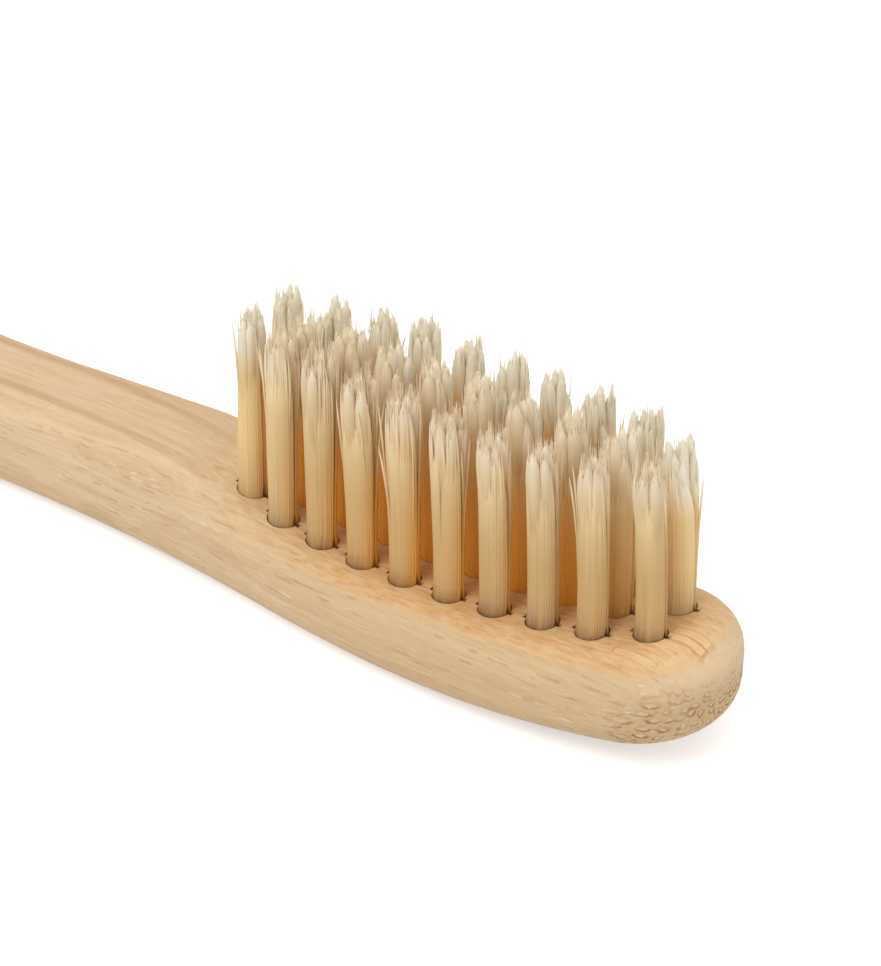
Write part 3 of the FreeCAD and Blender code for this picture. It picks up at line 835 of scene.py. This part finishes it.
    def fold(self, x, y):
        """The points of a filament's fold under the anchor, deeper for the outer filaments."""
        centre = self.centre
        depth = FOLD_SPAN * min((y - SLOT_HALF) / (SHANK_RADIUS - SLOT_HALF), 1.0)
        floor = self.anchor_low - FILAMENT_RADIUS - FOLD_GAP - depth * FOLD_STEEPNESS
        points = []
        for side, slope, lift in FOLD_POINTS:
            points.append(Vector((centre.x + x, centre.y + y * side, floor + y * slope + lift)))
        return points

    def add_filaments(self):
        """Filaments that come down one leg, fold under the anchor and go up the other."""
        radii = [FILAMENT_RADIUS * taper for taper in TAPERS]
        for x, y in self.spots:
            down, up = self.strand(x, y, -1)[::-1], self.strand(x, y, 1)
            fold = self.fold(x, y)
            seeds = self.chance.random(), self.chance.random()
            shades = [(seeds[0], share) for share in reversed(STRAND_SHARES)]
            shades += [(seeds[0], 0.0)] * len(fold)
            shades += [(seeds[1], share) for share in STRAND_SHARES]
            fold_radii = [FILAMENT_RADIUS * FOLD_THINNING] * len(fold)
            self.weave.tube(down + fold + up, radii[::-1] + fold_radii + radii, shades)

    def add_strays(self, leg):
        """Stray filaments that lean out of the bundle."""
        chance = self.chance
        radii = [STRAY_RADIUS * taper for taper in TAPERS]
        for x, y in chance.sample(self.spots[:len(self.spots) // 2], STRAYS):
            points = self.strand(x, y, leg, spare=chance.uniform(*STRAY_SPARE))
            turn = chance.uniform(0, 2 * math.pi)
            away = chance.uniform(*STRAY_REACH)
            for point, share in zip(points, STRAND_SHARES):
                point.x += math.cos(turn) * away * share ** STRAY_POWER
                point.y += math.sin(turn) * away * share ** STRAY_POWER
            shades = [(chance.random(), share) for share in STRAND_SHARES]
            self.weave.tube(points, radii, shades, (1.0,) * STRAY_SIDES)

    def add_hairs(self, leg):
        """Fine hairs that stand out at the top."""
        chance = self.chance
        shares = STRAND_SHARES[HAIR_FIRST:]
        radii = [HAIR_RADIUS * (1 - HAIR_TAPER * i / (len(shares) - 1)) for i in range(len(shares))]
        for x, y in chance.sample(self.spots, ROW_HAIRS[self.row]):
            points = self.strand(x, y, leg, spare=chance.uniform(0.0, ROW_SPARE[self.row]))[HAIR_FIRST:]
            shades = [(chance.random(), share) for share in shares]
            self.weave.tube(points, radii, shades, (1.0,) * HAIR_SIDES)

    def make(self, material):
        """Build the mesh, which takes the CAD tuft's place."""
        for leg in LEGS:
            self.place_locks(leg)
            self.add_core(leg)
            self.add_locks(leg)
        self.add_filaments()
        for leg in LEGS:
            self.add_strays(leg)
        for leg in LEGS:
            self.add_hairs(leg)
        piece = self.weave.object(self.name.replace("tuft", "filaments"), material)
        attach(piece, "root")
        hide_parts(self.name)


# The bristle face is sought by rays down to it: how far to each side of a socket they are, in mm, the
# height that they start at and the least height that counts as the face, in metres
RAY_SIDE = 1.2
RAY_START = 0.05
LOWEST_FACE = 0.004


def face_level(tree, x, y):
    """The height of the bristle face beside a socket, in mm."""
    hits = []
    for dx, dy in ((1, 1), (-1, 1), (1, -1), (-1, -1)):
        start = Vector(((x + dx * RAY_SIDE) * MM, (y + dy * RAY_SIDE) * MM, RAY_START))
        hit = tree.ray_cast(start, Vector((0, 0, -1)))[0]
        if hit is not None and hit.z > LOWEST_FACE:
            hits.append(hit.z / MM)
    return sum(hits) / len(hits)


# Stage

FLOOR_HALF = 3.0
FLOOR_LEVEL = -0.00005
FLOOR_LIFT = 0.5
PAPER_DARK = (0.78, 0.78, 0.78, 1)
PAPER_LIGHT = (0.82, 0.82, 0.82, 1)
WHITE = (1.0, 1.0, 1.0, 1.0)
WORLD_LIGHT = 0.64
LAMP_TARGET = (0.06, 0.0, 0.0)
# Each lamp's name, place, width and power
LAMPS = (
    ("key", (-0.1, -0.46, 0.72), 0.5, 2.6),
    ("top", (0.2, 0.25, 0.7), 0.6, 0.9),
    ("fill", (0.6, -0.15, 0.35), 0.5, 0.4),
)


def add_floor():
    """A white floor that shows plain white to the camera and keeps the brush's soft shadow."""
    shader = Shader("floor")
    path = shader.node("LightPath").outputs
    shown = shader.larger(path["Is Camera Ray"], path["Is Glossy Ray"])
    seen = shader.larger(shown, path["Is Transmission Ray"])
    paper = shader.node("TexNoise", {"Scale": 900.0, "Detail": 3.0}).outputs["Fac"]
    base = shader.mix(shader.remap(paper, 0.3, 0.7), PAPER_DARK, PAPER_LIGHT)
    diffuse = shader.node("BsdfDiffuse", {"Color": base})
    lift = shader.node("Emission", {"Color": WHITE, "Strength": shader.times(seen, FLOOR_LIFT)})
    both = shader.node("AddShader", {0: diffuse.outputs[0], 1: lift.outputs[0]})
    mesh = bpy.data.meshes.new("floor")
    sides = ((-1, -1), (1, -1), (1, 1), (-1, 1))
    corners = [(x * FLOOR_HALF, y * FLOOR_HALF, FLOOR_LEVEL) for x, y in sides]
    mesh.from_pydata(corners, [], [(0, 1, 2, 3)])
    mesh.materials.append(shader.surface(both.outputs[0]))
    floor = bpy.data.objects.new("floor", mesh)
    scene.collection.objects.link(floor)


def add_lamp(name, place, width, power):
    """A round lamp aimed at the head."""
    data = bpy.data.lights.new(name, "AREA")
    data.shape = "DISK"
    data.size = width
    data.energy = power
    lamp = bpy.data.objects.new(name, data)
    lamp.location = place
    aim = Vector(LAMP_TARGET) - Vector(place)
    lamp.rotation_euler = aim.to_track_quat("-Z", "Y").to_euler()
    scene.collection.objects.link(lamp)


def add_light():
    """Soft light from all round that shows white to the camera, and three wide lamps."""
    world = bpy.data.worlds.new("world")
    scene.world = world
    world.use_nodes = True
    tree = world.node_tree
    tree.nodes.clear()
    output = tree.nodes.new("ShaderNodeOutputWorld")
    background = tree.nodes.new("ShaderNodeBackground")
    background.inputs["Color"].default_value = WHITE
    path = tree.nodes.new("ShaderNodeLightPath")
    strength = tree.nodes.new("ShaderNodeMapRange")
    strength.inputs["To Min"].default_value = WORLD_LIGHT
    strength.inputs["To Max"].default_value = 1.0
    tree.links.new(path.outputs["Is Camera Ray"], strength.inputs["Value"])
    tree.links.new(strength.outputs[0], background.inputs["Strength"])
    tree.links.new(background.outputs[0], output.inputs["Surface"])
    for lamp in LAMPS:
        add_lamp(*lamp)


def paint(node, material):
    """Give a CAD object one material, with its mesh as it is."""
    node.data.materials.clear()
    node.data.materials.append(material)


def main():
    scene.view_settings.view_transform = "Standard"
    add_camera()
    add_light()
    add_floor()

    wood = Bamboo().finished()
    wire = brass()
    filament = Bristle().finished()
    handle = NODES["handle"]
    paint(handle, wood)
    for name, node in NODES.items():
        if name.startswith("anchor_"):
            paint(node, wire)

    tree = BVHTree.FromPolygons(
        [vertex.co for vertex in handle.data.vertices],
        [tuple(polygon.vertices) for polygon in handle.data.polygons],
    )
    tufts = sorted(name for name in NODES if name.startswith("tuft_"))
    for number, name in enumerate(tufts):
        low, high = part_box(name)
        middle = (low + high) / 2 / MM
        Tuft(name, number, face_level(tree, middle.x, middle.y)).make(filament)


main()
